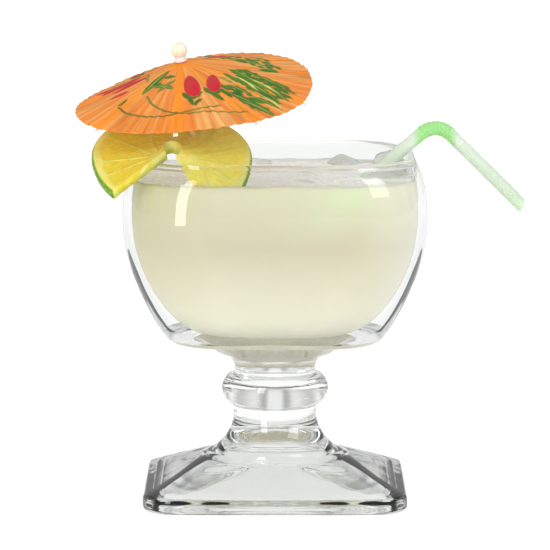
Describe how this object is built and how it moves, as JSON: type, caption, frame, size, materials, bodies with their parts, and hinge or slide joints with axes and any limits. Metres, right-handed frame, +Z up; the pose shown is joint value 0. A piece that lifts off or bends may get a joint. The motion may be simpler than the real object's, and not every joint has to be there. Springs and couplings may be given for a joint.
{
  "type": "glass of lemonade",
  "caption": "Square-bowled footed glass of cloudy lemonade with a bendy straw, a slit lime slice on the rim and a paper parasol on a stick.",
  "frame": {"origin": "centre of the foot, on the table", "axes": "+Z up the stem, -Y towards the side the parasol leans to, +X towards the side the straw hangs over"},
  "size_m": [0.1877, 0.1532, 0.1945],
  "materials": {
    "glass": "polished",
    "lemonade": "wet",
    "straw": "translucent",
    "lime": "wet",
    "paper": "printed tissue paper",
    "wood": "bare",
    "bead": "painted"
  },
  "bodies": {
    "root": {"glass": "glass", "lemonade": "lemonade", "straw": "straw", "lime_slice": "lime", "parasol_paper": "paper", "stick": "wood", "bead": "bead", "collar": "bead", "runner": "paper", "rib_1": "wood", "rib_2": "wood", "rib_3": "wood", "rib_4": "wood", "rib_5": "wood", "rib_6": "wood", "rib_7": "wood", "rib_8": "wood", "strut_1": "wood", "strut_2": "wood", "strut_3": "wood", "strut_4": "wood", "strut_5": "wood", "strut_6": "wood", "strut_7": "wood", "strut_8": "wood"}
  },
  "joints": []
}
